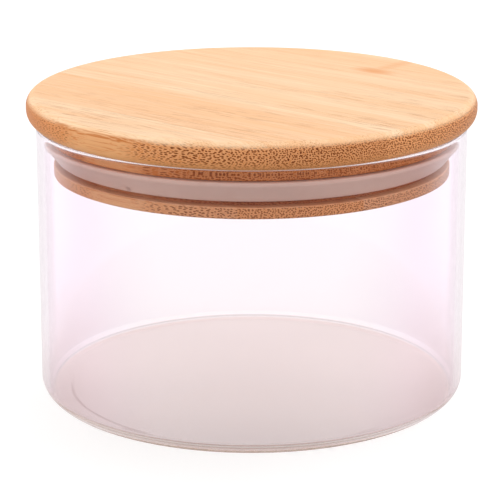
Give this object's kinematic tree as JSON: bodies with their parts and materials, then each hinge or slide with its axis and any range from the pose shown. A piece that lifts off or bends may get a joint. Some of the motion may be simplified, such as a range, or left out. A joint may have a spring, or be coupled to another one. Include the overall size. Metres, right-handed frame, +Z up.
{
  "type": "food canister",
  "caption": "Low round glass food canister with a straight wall and a push-in bamboo lid that a white silicone ring seals.",
  "frame": {"origin": "middle of the base, on the surface that the jar stands on", "axes": "+Z up along the jar's axis, +Y away from the viewer of the picture, +X to the right"},
  "size_m": [0.1252, 0.1252, 0.086],
  "materials": {
    "clear_glass": "clear and smooth",
    "white_silicone": "matt white silicone",
    "bamboo": "sanded and lightly oiled bamboo"
  },
  "bodies": {
    "jar": {"glass_jar": "clear_glass"},
    "seal": {"seal_ring": "white_silicone"},
    "lid": {"cap_strip_1": "bamboo", "cap_strip_2": "bamboo", "cap_strip_3": "bamboo", "cap_strip_4": "bamboo", "cap_strip_5": "bamboo", "flange_strip_1": "bamboo", "flange_strip_2": "bamboo", "flange_strip_3": "bamboo", "flange_strip_4": "bamboo", "flange_strip_5": "bamboo", "neck_strip_1": "bamboo", "neck_strip_2": "bamboo", "neck_strip_3": "bamboo", "neck_strip_4": "bamboo", "neck_strip_5": "bamboo"}
  },
  "joints": [
    {"name": "lid_lift", "type": "slide", "parent": "jar", "child": "seal", "axis": [0, 0, 1], "range_m": [0, 0.1]},
    {"name": "lid_turn", "type": "hinge", "parent": "seal", "child": "lid", "pos_m": [0, 0, 0.0712], "axis": [0, 0, 1], "continuous": true}
  ]
}
